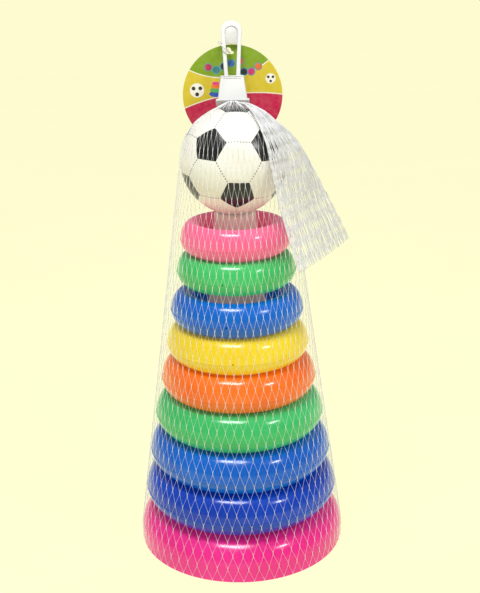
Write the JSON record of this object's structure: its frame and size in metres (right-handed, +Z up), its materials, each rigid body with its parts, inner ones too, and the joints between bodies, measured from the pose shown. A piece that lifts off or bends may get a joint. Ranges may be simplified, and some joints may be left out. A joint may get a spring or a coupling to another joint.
{
  "type": "ring toss set",
  "caption": "Stacking ring-toss tower: domed base with tapered post, loose rings and a ball on top, in a shop net with clip, hang loop and round header card.",
  "frame": {"origin": "on the floor under the post, at the centre of the base", "axes": "+Z up the post, -Y towards the front, +X towards the side the net's end fans out over"},
  "size_m": [0.1786, 0.1726, 0.4253],
  "materials": {
    "base_magenta": "glossy injection-moulded polypropylene",
    "post_translucent": "translucent natural polyethylene, satin",
    "ball_white": "white plastic ball, black printed panels",
    "ring_pink": "glossy blow-moulded polyethylene",
    "ring_green": "glossy blow-moulded polyethylene",
    "ring_blue": "glossy blow-moulded polyethylene",
    "ring_yellow": "glossy blow-moulded polyethylene",
    "ring_orange": "glossy blow-moulded polyethylene",
    "ring_deep_blue": "glossy blow-moulded polyethylene",
    "net_white": "thin extruded polyethylene netting",
    "clip_white": "white moulded plastic",
    "card_print": "coated card, printed in bands"
  },
  "bodies": {
    "tower": {"base": "base_magenta", "post": "post_translucent", "net_bottom": "net_white"},
    "ring_8": {"ring_8": "ring_deep_blue"},
    "ring_7": {"ring_7": "ring_blue"},
    "ring_6": {"ring_6": "ring_green"},
    "ring_5": {"ring_5": "ring_orange"},
    "ring_4": {"ring_4": "ring_yellow"},
    "ring_3": {"ring_3": "ring_blue"},
    "ring_2": {"ring_2": "ring_green"},
    "ring_1": {"ring_1": "ring_pink"},
    "ball": {"ball": "ball_white"},
    "net": {"net_sleeve": "net_white", "net_tail": "net_white", "hang_loop": "clip_white"},
    "clip": {"clip_collar": "clip_white"},
    "card": {"header_card": "card_print", "card_tie": "clip_white"}
  },
  "joints": [
    {"name": "ring_8_lift", "type": "slide", "parent": "tower", "child": "ring_8", "axis": [0, 0, 1], "range_m": [0, 0.268]},
    {"name": "ring_7_lift", "type": "slide", "parent": "ring_8", "child": "ring_7", "axis": [0, 0, 1], "range_m": [0, 0.233]},
    {"name": "ring_6_lift", "type": "slide", "parent": "ring_7", "child": "ring_6", "axis": [0, 0, 1], "range_m": [0, 0.2]},
    {"name": "ring_5_lift", "type": "slide", "parent": "ring_6", "child": "ring_5", "axis": [0, 0, 1], "range_m": [0, 0.169]},
    {"name": "ring_4_lift", "type": "slide", "parent": "ring_5", "child": "ring_4", "axis": [0, 0, 1], "range_m": [0, 0.138]},
    {"name": "ring_3_lift", "type": "slide", "parent": "ring_4", "child": "ring_3", "axis": [0, 0, 1], "range_m": [0, 0.109]},
    {"name": "ring_2_lift", "type": "slide", "parent": "ring_3", "child": "ring_2", "axis": [0, 0, 1], "range_m": [0, 0.077]},
    {"name": "ring_1_lift", "type": "slide", "parent": "ring_2", "child": "ring_1", "axis": [0, 0, 1], "range_m": [0, 0.05]},
    {"name": "ball_lift", "type": "slide", "parent": "ring_1", "child": "ball", "axis": [0, 0, 1], "range_m": [0, 0.022]},
    {"name": "net_lift", "type": "slide", "parent": "ball", "child": "net", "axis": [0, 0, 1], "range_m": [0, 0.37]},
    {"name": "clip_slide", "type": "slide", "parent": "net", "child": "clip", "axis": [0, 0.4305, 0.9026], "range_m": [0, 0.012]},
    {"name": "card_swing", "type": "hinge", "parent": "net", "child": "card", "pos_m": [-0.00595, 0.0396, 0.40522], "axis": [1, 0, 0], "range_deg": [0, 20]}
  ]
}
